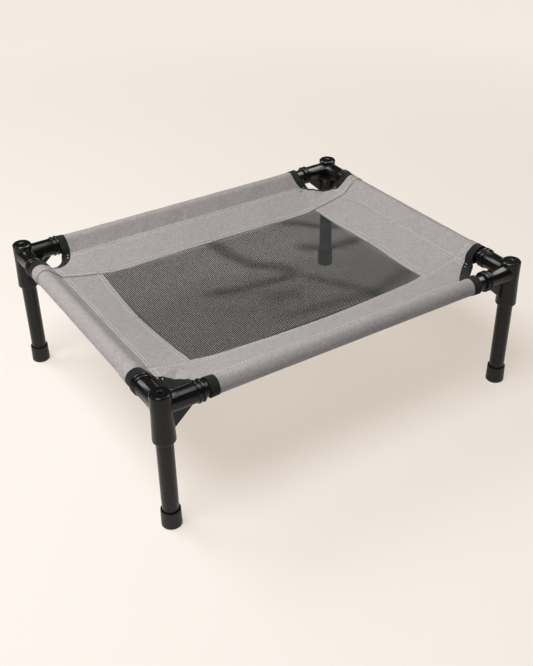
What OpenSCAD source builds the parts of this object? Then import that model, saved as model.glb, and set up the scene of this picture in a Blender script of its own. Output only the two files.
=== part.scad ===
// Raised pet cot: four legs with foot caps, four rails pushed into moulded corner connectors,
// and a sewn cover of four cloth strips and a mesh panel, held by sleeves round the rails.
// Units are millimetres. The origin is on the floor under the middle of the cot, +X runs along
// the long side, +Y from the front rail to the back rail, and +Z is up.

/* [Frame] */
// Distance between leg axes along the long side
leg_span_x = 482; // [400:1:900]
// Distance between leg axes along the short side
leg_span_y = 382; // [300:1:700]
// Height of the connector tops above the floor
stand_h = 178; // [150:1:260]
// Outside diameter of the leg and rail tubes
tube_d = 19; // [16:0.5:22]
// Wall of the leg and rail tubes
tube_wall = 1.2; // [0.8:0.1:2]

/* [Corner connectors] */
// Radial clearance of a tube in its socket
fit_gap = 0.25; // [0.2:0.05:0.4]
// Wall of the upright socket, beside the arms
socket_wall = 2.1; // [1.8:0.1:3.5]
// Widening of the upright socket at its lower lip
socket_flare = 1; // [0.2:0.1:2]
// Wall of the rail arms
arm_wall = 1.4; // [1.2:0.1:3]
// Rise of the connector's top above the arms
cap_rise = 4.85; // [3:0.05:8]
// Solid thickness between the arms' underside and the end of the leg socket
socket_floor = 2.85; // [2:0.05:6]
// Depth of a leg in its socket
leg_insert = 31; // [20:1:45]
// Solid thickness between the upright socket and the end of a rail
arm_floor = 4; // [2:0.25:8]
// Depth of a rail in its arm
rail_insert = 31; // [24:1:50]
// Radius of the socket's rounded lower lip
lip_r = 2.4; // [1:0.2:2.4]
// Chamfer round the connector's top
cap_chamfer = 1.4; // [0.6:0.2:2]
// Diameter of the hole in the connector's top
cap_hole_d = 4.4; // [3:0.2:6]
// Depth of the hole in the connector's top
cap_hole_depth = 3; // [2:0.5:4]
// Width of the countersink round that hole
cap_sink_w = 1.4; // [0.6:0.2:2]
// Width of each raised ring on an arm
ring_w = 3.6; // [2.5:0.1:4.5]
// Groove between the two rings of an arm
ring_groove = 1.6; // [1:0.2:3]
// Height of the rings above the arm
ring_rise = 1.7; // [0.5:0.1:1.8]
// Thickness of the gusset plates and of the inner web and rib
plate_t = 4.2; // [3:0.2:6]
// Length of a gusset down the upright socket, below the arm
gusset_drop = 22; // [8:1:26]
// Clear length of arm between a gusset's tip and the first ring
gusset_gap = 2.5; // [1:0.5:6]
// Reach of the inner web along each arm
web_reach = 35; // [25:1:36]
// Length of the diagonal rib below the web
rib_drop = 16; // [8:1:22]

/* [Foot caps] */
// Height of a foot cap
foot_h = 22.5; // [15:0.5:35]
// Wall of a foot cap
foot_wall = 1.65; // [1.4:0.05:3]
// Thickness of the floor under the leg's end
foot_floor = 4; // [2:0.5:8]
// Radial clearance of the leg in its foot cap
foot_gap = 0.1; // [0.05:0.05:0.3]
// Widening of the foot cap at its base
foot_flare = 0.35; // [0.1:0.05:1]
// Chamfer round the foot cap's base
foot_chamfer = 1.2; // [0.4:0.1:2]
// Widening of the foot cap's mouth round the leg
foot_mouth = 0.9; // [0.4:0.1:1.2]
// Depth of that wider mouth
foot_mouth_depth = 3; // [1:0.5:6]

/* [Cover] */
// Thickness of the strip cloth
cloth_t = 0.9; // [0.6:0.1:1.5]
// Clearance of the cloth to the rails and to other cloth
cloth_gap = 0.3; // [0.2:0.05:0.5]
// Distance of the sleeve seam from the sleeve, towards the middle
seam_reach = 10.3; // [8:0.1:16]
// Depth of the sleeve seam below the rail axis
seam_drop = 6; // [2:0.5:9]
// Depth of the mesh edge below the rail axis
mesh_drop = 21; // [12:0.5:30]
// Bare rail between an arm's mouth and the end of a long sleeve
bare_rail_long = 6; // [1:0.5:10]
// Bare rail between an arm's mouth and the end of a short sleeve
bare_rail_short = 1.5; // [1:0.5:10]
// Width of the corner binding tape
binding_w = 10.5; // [6:0.5:16]
// Thickness that the binding tape adds to each face of the cloth
binding_t = 0.6; // [0.4:0.1:1]
// Distance from the rail axis at which a sleeve's straight end turns into the corner opening
notch_side = 13; // [11:0.5:18]
// Distance of the corner opening's rounded side from both rail axes, on the diagonal
notch_depth = 35; // [34:0.5:38]
// Cloth between the corner binding and the lap seam
lap_w = 11; // [6:0.5:25]
// Thickness of the mesh panel
mesh_t = 0.7; // [0.5:0.1:1.2]
// Sag of the mesh panel's middle below its edges
mesh_sag = 8; // [2:0.5:20]

/* [Hidden] */
$fn = 64;

// Corner names with the mirror flags of X and Y
CORNERS = [
    ["front_left", 0, 0],
    ["front_right", 1, 0],
    ["back_left", 0, 1],
    ["back_right", 1, 1],
];
CORNER_PARTS = ["corner_connector", "leg_tube", "foot_cap", "corner_wing", "corner_binding"];
SIDE_PARTS = [
    "front_rail", "back_rail", "left_rail", "right_rail",
    "front_strip", "back_strip", "left_strip", "right_strip",
    "mesh_panel",
];

// Overrun that keeps a cutting or a joining shape from ending on a face
over = 1;

// Tubes and connectors
tube_r = tube_d / 2;
bore_r = tube_r + fit_gap;
socket_r = bore_r + socket_wall;
lip_out_r = socket_r + socket_flare;
arm_r = bore_r + arm_wall;
rail_z = stand_h - cap_rise - arm_r;
leg_top = rail_z - arm_r - socket_floor;
socket_bottom = leg_top - leg_insert;
rail_end = socket_r + arm_floor;
arm_reach = rail_end + rail_insert;
ring_r = arm_r + ring_rise;
outer_ring = arm_reach - ring_w / 2;
inner_ring = outer_ring - ring_w - ring_groove;
gusset_reach = inner_ring - ring_w / 2 - gusset_gap;
web_z = rail_z - arm_r / 2;

// Foot caps
foot_bore_r = tube_r + foot_gap;
foot_r = foot_bore_r + foot_wall;
foot_max_r = foot_r + foot_flare;

// Cover, measured from the rail axis: u is towards the middle and w is up
half_x = leg_span_x / 2;
half_y = leg_span_y / 2;
sleeve_in_r = tube_r + cloth_gap;
sleeve_r = sleeve_in_r + cloth_t;
seam_u = sleeve_r + seam_reach;
long_mouth = arm_reach + bare_rail_long;
short_mouth = arm_reach + bare_rail_short;
hem_in = long_mouth + binding_w + lap_w;
seam_dist = norm([seam_u, seam_drop]);
seam_angle = atan2(-seam_drop, seam_u);
// Share of the radius at which a sleeve's straight flanks leave its round part
flank_share = 0.97;
// Share of the seam's distance at which the strip starts, inside the sleeve's tip
tip_share = 0.97;
// Plan cuts: their spare width beyond the sleeves, their margin outside the rail axes, and their height
plan_spare = 8;
plan_margin = sleeve_r + binding_t + plan_spare;
plan_h = 2 * (mesh_drop + sleeve_r + plan_spare);

// Centre of the circle through three points
function circle_centre(p, q, r) =
    let (
        a = q - p,
        b = r - p,
        twice = 2 * (a[0] * b[1] - a[1] * b[0])
    )
    p + [b[1] * (a * a) - a[1] * (b * b), a[0] * (b * b) - b[0] * (a * a)] / twice;

// Rounded side of a corner opening, in plan from the corner's leg axis: its two ends, centre and radius
notch_ends = [[long_mouth, notch_side], [notch_side, short_mouth]];
notch_centre = circle_centre(notch_ends[0], [notch_depth, notch_depth], notch_ends[1]);
notch_r = norm(notch_ends[0] - notch_centre);

// Mesh panel
mesh_half_x = half_x - hem_in - cloth_gap;
mesh_half_y = half_y - hem_in - cloth_gap;
mesh_top = rail_z - mesh_drop + cloth_t / 2;
// Openings of the mesh panel along each side; they stand for the fine weave
mesh_count_x = 12;
mesh_count_y = 8;
// Part of a cell's side that its opening takes
mesh_open = 0.6;

plastic = "#262523";
coated_steel = "#33312F";
foot_rubber = "#2B2A28";
cloth = "#A5A09D";
tape = "#1E1D1C";
net = "#3A3938";

// Puts a piece that is made for the front left corner at another corner
module at_corner(corner) {
    mirror([corner[1], 0, 0])
        mirror([0, corner[2], 0])
            children();
}

// Profile of the upright socket: radius against height, widening to a rounded lip, with a chamfered top
module socket_profile() {
    polygon([
        [0, socket_bottom], [lip_out_r - lip_r, socket_bottom], [lip_out_r - lip_r, socket_bottom + lip_r],
        [lip_out_r, socket_bottom + lip_r], [socket_r, rail_z - arm_r], [socket_r, stand_h - cap_chamfer],
        [socket_r - cap_chamfer, stand_h], [0, stand_h],
    ]);
    intersection() {
        translate([lip_out_r - lip_r, socket_bottom + lip_r])
            circle(lip_r);
        translate([lip_out_r - lip_r - over, socket_bottom])
            square([lip_r + over, lip_r + over]);
    }
}

// Profile of an arm: radius against length, with two round beads near the mouth
module arm_profile() {
    square([arm_r, arm_reach]);
    for (place = [inner_ring, outer_ring])
        translate([ring_r - ring_w / 2, place])
            circle(d = ring_w);
}

// Gusset in the plane of an arm: from the arm's underside down to the upright socket
module gusset_outline() {
    polygon([
        [0, rail_z], [gusset_reach, rail_z], [gusset_reach, rail_z - arm_r - over / 2],
        [socket_r, rail_z - arm_r - gusset_drop], [0, rail_z - arm_r - gusset_drop],
    ]);
}

// Moulded corner piece with a leg socket, two rail arms, gussets, a web and a rib
module corner_connector() {
    color(plastic)
        translate([-half_x, -half_y, 0])
            difference() {
                union() {
                    rotate_extrude()
                        socket_profile();
                    for (turn = [0, 90]) {
                        rotate([0, 0, turn])
                            translate([0, 0, rail_z])
                                rotate([0, 90, 0])
                                    rotate_extrude()
                                        arm_profile();
                        rotate([90, 0, turn])
                            linear_extrude(plate_t, center = true)
                                gusset_outline();
                    }
                    translate([0, 0, web_z - plate_t / 2])
                        linear_extrude(plate_t)
                            polygon([[0, 0], [web_reach, 0], [0, web_reach]]);
                    rotate([90, 0, 45])
                        linear_extrude(plate_t, center = true)
                            polygon([
                                [0, web_z], [web_reach / sqrt(2) - over, web_z],
                                [socket_r, web_z - rib_drop], [0, web_z - rib_drop],
                            ]);
                }
                translate([0, 0, socket_bottom - over])
                    cylinder(r = bore_r, h = leg_insert + over);
                for (turn = [0, 90])
                    rotate([0, 0, turn])
                        translate([rail_end, 0, rail_z])
                            rotate([0, 90, 0])
                                cylinder(r = bore_r, h = rail_insert + over);
                translate([0, 0, stand_h - cap_hole_depth])
                    cylinder(d = cap_hole_d, h = cap_hole_depth + over);
                translate([0, 0, stand_h - cap_sink_w])
                    cylinder(d1 = cap_hole_d, d2 = cap_hole_d + 4 * cap_sink_w, h = 2 * cap_sink_w);
            }
}

// Leg: a tube from the foot cap's floor to the end of its socket
module leg_tube() {
    color(coated_steel)
        translate([-half_x, -half_y, foot_floor])
            difference() {
                cylinder(r = tube_r, h = leg_top - foot_floor);
                translate([0, 0, -over])
                    cylinder(r = tube_r - tube_wall, h = leg_top - foot_floor + 2 * over);
            }
}

// Foot cap: a cup with a wider base, whose mouth stands clear of the leg
module foot_cap() {
    color(foot_rubber)
        translate([-half_x, -half_y, 0])
            rotate_extrude()
                polygon([
                    [0, 0], [foot_max_r - foot_chamfer, 0], [foot_max_r, foot_chamfer], [foot_r, foot_h],
                    [foot_bore_r + foot_mouth, foot_h], [foot_bore_r, foot_h - foot_mouth_depth],
                    [foot_bore_r, foot_floor], [0, foot_floor],
                ]);
}

// Rail along the long side, at the front
module long_rail() {
    rail_len = leg_span_x - 2 * rail_end;
    color(coated_steel)
        translate([0, -half_y, rail_z])
            rotate([0, 90, 0])
                difference() {
                    cylinder(r = tube_r, h = rail_len, center = true);
                    cylinder(r = tube_r - tube_wall, h = rail_len + 2 * over, center = true);
                }
}

// Rail along the short side, at the left
module short_rail() {
    rail_len = leg_span_y - 2 * rail_end;
    color(coated_steel)
        translate([-half_x, 0, rail_z])
            rotate([90, 0, 0])
                difference() {
                    cylinder(r = tube_r, h = rail_len, center = true);
                    cylinder(r = tube_r - tube_wall, h = rail_len + 2 * over, center = true);
                }
}

// Sleeve outline of radius r: a circle with two straight flanks that meet at the seam
module sleeve_outline(r) {
    foot_dist = flank_share * r;
    tip = seam_dist * r / sleeve_r;
    foot_angle = acos(foot_dist / tip);
    circle(r);
    rotate(seam_angle)
        polygon([
            [tip, 0],
            foot_dist * [cos(foot_angle), sin(foot_angle)],
            foot_dist * [cos(foot_angle), -sin(foot_angle)],
        ]);
}

// Section of the cover at a rail: the sleeve, and the strip that slopes from its seam to the mesh.
// skin is what a tape adds to each face.
module cover_section(skin) {
    start = tip_share * [seam_u, -seam_drop];
    slope = [hem_in, -mesh_drop] - start;
    finish = start + slope * (1 + over / norm(slope));
    across = [-slope[1], slope[0]] / norm(slope) * (cloth_t / 2 + skin);
    difference() {
        union() {
            sleeve_outline(sleeve_r + skin);
            polygon([start + across, start - across, finish - across, finish + across]);
        }
        sleeve_outline(sleeve_in_r);
    }
}

// Cover cloth along the front rail, before it is cut to its outline
module front_cloth(skin) {
    translate([0, -half_y, rail_z])
        rotate([90, 0, 90])
            linear_extrude(leg_span_x, center = true)
                cover_section(skin);
}

// Cover cloth along the left rail, before it is cut to its outline
module left_cloth(skin) {
    translate([-half_x, 0, rail_z])
        rotate([90, 0, 0])
            linear_extrude(leg_span_y, center = true)
                cover_section(skin);
}

// Upright cutting block over an outline in plan
module plan_block() {
    translate([0, 0, rail_z - plan_h / 2])
        linear_extrude(plan_h)
            children();
}

// Plan of the front cloth: a band that is mitred at both ends
module front_plan() {
    polygon([
        [-half_x - plan_margin, -half_y - plan_margin], [half_x + plan_margin, -half_y - plan_margin],
        [half_x - hem_in, -half_y + hem_in], [-half_x + hem_in, -half_y + hem_in],
    ]);
}

// Plan of the wing that turns from the front cloth over the left rail; gap keeps it clear of the mitre
module wing_plan(gap) {
    back = gap * sqrt(2);
    polygon([
        [-half_x - plan_margin, -half_y - plan_margin + back], [-half_x + hem_in - back, -half_y + hem_in],
        [-half_x - plan_margin, -half_y + hem_in],
    ]);
}

// Plan of a corner opening, grown by a tape's width or less
module notch_plan(grow) {
    side = plan_margin + over;
    translate([-half_x, -half_y]) {
        translate([-side, -side]) {
            square([side + long_mouth + grow, side + notch_side]);
            square([side + notch_side, side + short_mouth + grow]);
        }
        if (grow > 0)
            for (end = notch_ends)
                translate(end)
                    circle(grow);
        intersection() {
            translate(notch_centre)
                circle(notch_r + grow);
            polygon([
                notch_centre,
                notch_centre + 2 * (notch_ends[0] - notch_centre),
                notch_centre + 2 * (notch_ends[1] - notch_centre),
            ]);
        }
    }
}

// Front cloth, mitred at both ends
module front_band(skin) {
    intersection() {
        front_cloth(skin);
        plan_block()
            front_plan();
    }
}

// Wing over the left rail
module left_wing(skin, gap) {
    intersection() {
        left_cloth(skin);
        plan_block()
            wing_plan(gap);
    }
}

// Long strip at the front, with its corners cut away for the bindings
module long_strip() {
    color(cloth)
        difference() {
            front_band(0);
            for (flip = [0, 1])
                mirror([flip, 0, 0])
                    plan_block()
                        notch_plan(binding_w + cloth_gap);
        }
}

// Wing of a long strip, which laps over the end of the short strip
module corner_wing() {
    color(cloth)
        difference() {
            left_wing(0, cloth_gap);
            plan_block()
                notch_plan(binding_w + cloth_gap);
        }
}

// Short strip at the left, between the wings of the two long strips
module short_strip() {
    strip_len = leg_span_y - 2 * (hem_in + cloth_gap);
    color(cloth)
        intersection() {
            left_cloth(0);
            plan_block()
                translate([-half_x - plan_margin, -strip_len / 2])
                    square([plan_margin + hem_in, strip_len]);
        }
}

// Binding tape round the corner opening and the two sleeve ends beside it
module corner_binding() {
    color(tape)
        intersection() {
            union() {
                front_band(binding_t);
                left_wing(binding_t, 0);
            }
            plan_block()
                difference() {
                    notch_plan(binding_w);
                    notch_plan(0);
                }
        }
}

// Lines across the mesh from -1 to 1: its two edges, and both sides of each opening
function mesh_lines(count) = concat(
    [-1],
    [for (k = [0:count - 1], side = [-1, 1]) (2 * k + 1 + side * mesh_open) / count - 1],
    [1]
);

// Point of the sagging mesh: a and b run from -1 to 1, and drop is how far it lies below the upper face
function mesh_point(a, b, drop) =
    [a * mesh_half_x, b * mesh_half_y, mesh_top - drop - mesh_sag * (1 - a * a) * (1 - b * b)];

// Triangles of the upright wall below a closed loop of points; the lower face's points follow layer later
function mesh_wall(loop, layer) = [
    for (k = [0:len(loop) - 1])
        let (p = loop[k], q = loop[(k + 1) % len(loop)])
        each [[p, q, p + layer], [q, q + layer, p + layer]]
];

// Mesh panel that sags from its four edges, with a plain grid of openings
module mesh_panel() {
    lines_x = mesh_lines(mesh_count_x);
    lines_y = mesh_lines(mesh_count_y);
    nx = len(lines_x);
    ny = len(lines_y);
    layer = nx * ny;
    points = [
        for (drop = [0, mesh_t], b = lines_y, a = lines_x)
            mesh_point(a, b, drop)
    ];
    // A square between odd lines both ways is an opening
    upper = [
        for (j = [0:ny - 2], i = [0:nx - 2])
            if (i % 2 == 0 || j % 2 == 0)
                let (k = j * nx + i)
                each [[k, k + nx, k + 1], [k + 1, k + nx, k + nx + 1]]
    ];
    lower = [for (f = upper) [f[2] + layer, f[1] + layer, f[0] + layer]];
    rim = concat(
        [for (i = [0:nx - 2]) i],
        [for (j = [0:ny - 2]) j * nx + nx - 1],
        [for (i = [nx - 1:-1:1]) (ny - 1) * nx + i],
        [for (j = [ny - 1:-1:1]) j * nx]
    );
    openings = [
        for (j = [1:2:ny - 3], i = [1:2:nx - 3])
            let (k = j * nx + i)
            each mesh_wall([k, k + nx, k + nx + 1, k + 1], layer)
    ];
    color(net)
        polyhedron(points, concat(upper, lower, mesh_wall(rim, layer), openings));
}

for (corner = CORNERS) {
    at_corner(corner) corner_connector();
    at_corner(corner) leg_tube();
    at_corner(corner) foot_cap();
    at_corner(corner) corner_wing();
    at_corner(corner) corner_binding();
}
long_rail();  // front_rail
mirror([0, 1, 0]) long_rail();  // back_rail
short_rail();  // left_rail
mirror([1, 0, 0]) short_rail();  // right_rail
long_strip();  // front_strip
mirror([0, 1, 0]) long_strip();  // back_strip
short_strip();  // left_strip
mirror([1, 0, 0]) short_strip();  // right_strip
mesh_panel();
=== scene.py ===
# %% [markdown]
# A raised pet cot, dressed
#
# The cot is a ring of four tubes pushed into moulded corner connectors, on four pull-out legs. A sewn
# cover hangs in the ring: four strips of grey cloth with sleeves round the tubes, black tape round the
# open corners, and a dark mesh in the middle. The hard pieces come from the CAD frame as they are and
# only get a finish. The soft pieces are worked out here as surfaces, because a cloth that is only a
# solid block has no hems, puckers or threads.

import bpy
import numpy as np
from mathutils import Matrix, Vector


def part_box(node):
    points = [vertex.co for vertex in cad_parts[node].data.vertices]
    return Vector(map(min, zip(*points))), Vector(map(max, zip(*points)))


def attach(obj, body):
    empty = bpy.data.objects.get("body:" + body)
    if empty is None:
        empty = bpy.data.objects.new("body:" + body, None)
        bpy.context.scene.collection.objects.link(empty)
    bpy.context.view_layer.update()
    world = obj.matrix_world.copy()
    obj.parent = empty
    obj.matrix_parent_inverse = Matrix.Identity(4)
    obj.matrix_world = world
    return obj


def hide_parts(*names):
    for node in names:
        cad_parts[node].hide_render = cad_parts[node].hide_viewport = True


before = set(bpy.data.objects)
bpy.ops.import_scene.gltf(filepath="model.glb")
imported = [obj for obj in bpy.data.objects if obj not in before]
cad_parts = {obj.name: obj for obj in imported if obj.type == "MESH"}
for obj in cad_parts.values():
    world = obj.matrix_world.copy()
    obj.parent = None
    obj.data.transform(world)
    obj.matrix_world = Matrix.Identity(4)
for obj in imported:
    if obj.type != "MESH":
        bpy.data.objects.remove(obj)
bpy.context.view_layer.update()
scene = bpy.context.scene
MM = 0.001

# %% [markdown]
# The camera comes first, so that every later piece can be judged in the photograph's own view. It could
# be aimed by eye with a Track To constraint. Here its angles were fitted to the four connector tops and
# the four feet, so the matrix is built from them: three unit vectors for right, up and back.

# %% Camera
IMAGE_H = 666
FOCAL_PX = 940.2
SENSOR = 36.0
AZIMUTH, ELEVATION, ROLL = np.radians([-32.38, 33.19, -0.92])
DISTANCE = 1181.3
TARGET = np.array([-22.2, -45.0, 89.0])


def camera_axes(azimuth, elevation, roll):
    """Right, up and back of a camera; back points from target to eye, and roll turns the picture."""
    level = np.array([np.sin(azimuth), -np.cos(azimuth), 0.0])
    back = np.cos(elevation) * level + np.sin(elevation) * np.array([0.0, 0.0, 1.0])
    right = np.array([np.cos(azimuth), np.sin(azimuth), 0.0])
    up = np.cross(back, right)
    turned_right = np.cos(roll) * right + np.sin(roll) * up
    turned_up = np.cos(roll) * up - np.sin(roll) * right
    return turned_right, turned_up, back


def put(thing, right, up, back, spot):
    """Links an object into the scene at spot, in metres, with its axes along three unit vectors."""
    turn = np.eye(4)
    turn[:3, :] = np.column_stack([right, up, back, spot])
    thing.matrix_world = Matrix(turn.tolist())
    scene.collection.objects.link(thing)


right, up, back = camera_axes(AZIMUTH, ELEVATION, ROLL)
camera = bpy.data.objects.new("camera", bpy.data.cameras.new("camera"))
camera.data.sensor_width = SENSOR
camera.data.lens = FOCAL_PX * SENSOR / IMAGE_H
put(camera, right, up, back, (TARGET + back * DISTANCE) * MM)
scene.camera = camera
print("camera: lens %.1f mm, %.2f m from its target" % (camera.data.lens, DISTANCE * MM))

# %% [markdown]
# Every size of the cover follows the frame. The rails give the corners of the ring, the CAD strips give
# where the hem lies, and the CAD tapes give where the open corner starts. Reading them here, and not
# typing them again, keeps the cloth on the tubes if the CAD changes.

# %% Sizes from the frame, in millimetres


def corners_of(node):
    """Lowest and highest corner of a CAD node, in millimetres."""
    low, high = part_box(node)
    return np.array(low) / MM, np.array(high) / MM


# The cloth, the step between two layers of it, and the folded tape
CLOTH_T = 0.5
LAYER = 0.55
TAPE_W = 10.5
TAPE_T = 0.55
# The sleeve's seam in from the rail's axis and below it, the gap from the tube to the middle of the cloth,
# and the hem below the top of the CAD mesh
SEAM_IN, SEAM_DROP = 21.0, 6.0
SLEEVE_GAP = 0.75
HEM_BELOW = 0.45

front_low, front_high = corners_of("front_rail")
left_low, left_high = corners_of("left_rail")
half_x = -(left_low[0] + left_high[0]) / 2
half_y = -(front_low[1] + front_high[1]) / 2
rail_z = (front_low[2] + front_high[2]) / 2
tube_r = (front_high[2] - front_low[2]) / 2
sleeve_r = tube_r + SLEEVE_GAP
hem_in = corners_of("front_strip")[1][1] + half_y
long_mouth, short_mouth = corners_of("corner_binding_front_left")[1][:2] + [half_x, half_y] - TAPE_W
mesh_drop = rail_z - corners_of("mesh_panel")[1][2] + HEM_BELOW
mesh_x, mesh_y = half_x - hem_in, half_y - hem_in
print("rails at x %.1f, y %.1f, z %.1f; hem %.1f in; sleeves end %.1f and %.1f in"
      % (half_x, half_y, rail_z, hem_in, long_mouth, short_mouth))

# %% [markdown]
# One section describes the whole cover: the cloth starts under the strip, runs round the tube, comes
# back to the seam, and slopes down to the mesh. It could be drawn as a curve object and lofted. As an
# array it is easier to reuse: every strip, tape and stitch below asks it for a point by its distance
# along the cloth, which is also the weave's coordinate.

# %% Section of the cover
UNDERLAY = 8.0
STEP = 0.25
SOFTNESS = 1.1


def unit(vectors):
    """A vector, or each of an array of them, brought to length 1."""
    return vectors / np.linalg.norm(vectors, axis=-1, keepdims=True)


def run_lengths(line):
    """Distance along a line of points from its first point to each of them."""
    return np.concatenate([[0], np.cumsum(np.linalg.norm(np.diff(line, axis=0), axis=1))])


def points_at(line, lengths, at):
    """Points at the given distances along a line whose own points lie at lengths."""
    return np.stack([np.interp(at, lengths, column) for column in line.T], axis=1)


def softened(line, step, width):
    """A line of points one step apart, averaged with a Gaussian of that width; its ends stay put."""
    half = int(4 * width / step)
    kernel = np.exp(-0.5 * (np.arange(-half, half + 1) * step / width) ** 2)
    kernel /= kernel.sum()
    padded = np.vstack([2 * line[0] - line[half:0:-1], line, 2 * line[-1] - line[-2:-half - 2:-1]])
    return np.stack([np.convolve(column, kernel, mode="valid") for column in padded.T], axis=1)


def section_path():
    """Dense path of the cloth across a rail, as distance in from the rail axis and height above it.

    Straight to the seam below the strip, along the lower tangent to the tube, round its outside, along
    the upper tangent back to the seam, then straight on past the hem. A Gaussian average rounds the kinks.
    """
    seam = np.array([SEAM_IN, -SEAM_DROP])
    hem = np.array([hem_in, -mesh_drop])
    slope = unit(hem - seam)
    below = LAYER * np.array([slope[1], -slope[0]])
    tilt = np.arctan2(seam[1], seam[0])
    spread = np.arccos(sleeve_r / np.linalg.norm(seam))
    angle = np.linspace(tilt - spread, tilt + spread - 2 * np.pi, 90)
    ring = sleeve_r * np.stack([np.cos(angle), np.sin(angle)], axis=1)
    far = seam + slope * (half_x - SEAM_IN + 20) / slope[0]
    corners = np.vstack([seam + UNDERLAY * slope + below, seam + below, ring, seam, far])
    lengths = run_lengths(corners)
    dense = points_at(corners, lengths, np.arange(0, lengths[-1], STEP))
    return softened(dense, STEP, SOFTNESS)


path = section_path()
along = run_lengths(path)
crown = np.argmax(path[:, 1])
along -= np.interp(SEAM_IN, path[crown:, 0], along[crown:])


def section(a):
    """Distance in and height of the cloth at path length a, which is 0 at the seam and grows inwards."""
    return np.interp(a, along, path[:, 0]), np.interp(a, along, path[:, 1])


def length_at(d):
    """Path length of the upper cloth at distance d in from the rail axis."""
    return np.interp(d, path[crown:, 0], along[crown:])


a_start = along[0]
a_hem = float(length_at(hem_in))
print("section: %.1f mm round the sleeve, %.1f mm from seam to hem" % (-a_start, a_hem))

# %% [markdown]
# Where two strips meet at a corner, the cloth follows whichever rail is nearer, with a soft valley along
# the diagonal. A cloth simulation could find this shape. A smooth maximum of the two section heights
# gives the same hopper at once, and it stays exact at the sleeves. In the middle of each side the hem
# sags a little and is drawn outwards, as the photograph shows.

# %% Surface of the cover
VALLEY = 13.0
HEM_SAG = 1.2
HEM_BOW = 4.8


def smooth(x):
    """Ease from 0 to 1 with no kink at either end."""
    t = np.clip(x, 0, 1)
    return t * t * (3 - 2 * t)


def slack(x, reach):
    """Share of the sag at place x along a hem that runs from -reach to reach: 0 at its ends, 1 amid."""
    return (1 - np.minimum(np.abs(x / reach), 1) ** 2) ** 2


def lowered(d, h, share):
    """A section point moved by the hem's sag: nothing up to the seam, all at the hem, then more."""
    part = share * np.clip((d - SEAM_IN) / (hem_in - SEAM_IN), 0, 1.3)
    return d - HEM_BOW * part, h - HEM_SAG * part


def cover_base(a, b):
    """Cloth at the front left corner as (u, v, h): in from the left rail, in from the front rail, height.

    a and b are path lengths in from the front and left rails. The height is a smooth maximum of the two
    section heights: where they differ by less than VALLEY, a parabola is added that meets both smoothly.
    """
    v, front_h = section(a)
    u, left_h = section(b)
    share_x, share_y = slack(half_x - u, mesh_x), slack(half_y - v, mesh_y)
    v, front_h = lowered(v, front_h, share_x)
    u, left_h = lowered(u, left_h, share_y)
    near = np.maximum(VALLEY - np.abs(front_h - left_h), 0)
    return np.stack([u, v, np.maximum(front_h, left_h) + near ** 2 / (4 * VALLEY)], axis=-1)


def cover_normal(a, b):
    """Outward unit normal of the cloth: the cross product of its two slopes, by central differences."""
    nudge = 0.3
    across = cover_base(a + nudge, b) - cover_base(a - nudge, b)
    length = cover_base(a, b + nudge) - cover_base(a, b - nudge)
    return unit(np.cross(length, across))


print("cover: valley %.0f mm wide, hems sag %.1f mm" % (VALLEY, HEM_SAG))

# %% [markdown]
# Real cloth is never still. The sleeves carry shallow dents, the seams pucker at each stitch, and soft
# creases fan out of the corners, where the cloth is pulled round two tubes. Noise textures could fake
# this in the shader, but the meshes are used on their own too, so the folds are in the surface: sums of
# sine waves along the strips, and a few ridges with a bell-shaped section at the corners.

# %% Folds of the cloth
FOLD_BANDS = [
    # path length at its middle, half width, height, wave lengths along the strip, shift of their phase
    (-9.0, 7.0, 0.9, (41, 23, 17, 71), 0),  # dents on the flank between sleeve and seam
    (-32.0, 14.0, 0.16, (58, 37), 1),  # shallow dents on top of the sleeve
    (2.5, 4.0, 0.22, (8.4, 12.7), 0),  # puckers at the seam
    (a_hem - 4, 4.0, 0.12, (8.3, 13.9), 3),  # puckers at the hem
]
SLOPE_FOLD = 0.6
SLOPE_LENGTHS = (149, 93, 61)
SLOPE_FADES = (12, 14)  # past the seam and before the hem
CREASES = [
    # line in plan as (u, v), height, half width
    ([(40, 12), (66, 60)], 0.9, 3.0),
    ([(30, 30), (62, 70)], -0.8, 3.6),
    ([(12, 44), (60, 66)], 0.9, 3.2),
    ([(60, 8), (84, 52)], -0.6, 4.0),
    ([(8, 62), (44, 80)], -0.5, 3.6),
]
CREASE_FADES = (0.35, 0.45)
CREASE_CONTRAST = 0.35  # share by which a corner's creases are stronger or weaker
STRIP_BLEND = 6.0  # difference in height over which one strip's folds give way to the other's
LONG_PHASE, SHORT_PHASE = 0.7, 1.9


def waves(x, lengths, phase):
    """Sum of sine waves of the given lengths, scaled to about 1."""
    sines = [np.sin(2 * np.pi * x / length + phase * (k + 1)) for k, length in enumerate(lengths)]
    return sum(sines) / len(lengths)


def strip_folds(a, x, phase):
    """Height of the folds of one strip at path length a and place x along it.

    Slow waves on the slope between seam and hem, and waves below a bell across the strip in each band.
    """
    sloped = smooth(a / SLOPE_FADES[0]) * smooth((a_hem - a) / SLOPE_FADES[1] + 0.25)
    height = SLOPE_FOLD * sloped * waves(x, SLOPE_LENGTHS, phase + 2)
    for middle, width, rise, lengths, shift in FOLD_BANDS:
        height = height + rise * np.exp(-((a - middle) / width) ** 2) * waves(x, lengths, phase + shift)
    return height


def crease(x, y, line, height, width, fades):
    """Fold along a bent line in plan: a bell of the distance to its nearest stretch, fading at both ends.

    fades are the lengths of the two fades, in stretches of the line.
    """
    line = np.array(line, float)
    nearest, reached = np.full(np.shape(x), np.inf), np.zeros(np.shape(x))
    for k, (start, way) in enumerate(zip(line[:-1], np.diff(line, axis=0))):
        t = np.clip(((x - start[0]) * way[0] + (y - start[1]) * way[1]) / (way @ way), 0, 1)
        off = np.hypot(x - start[0] - t * way[0], y - start[1] - t * way[1])
        reached = np.where(off < nearest, k + t, reached)
        nearest = np.minimum(off, nearest)
    fading = smooth(reached / fades[0]) * smooth((len(line) - 1 - reached) / fades[1])
    return height * np.exp(-(nearest / width) ** 2) * fading


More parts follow.
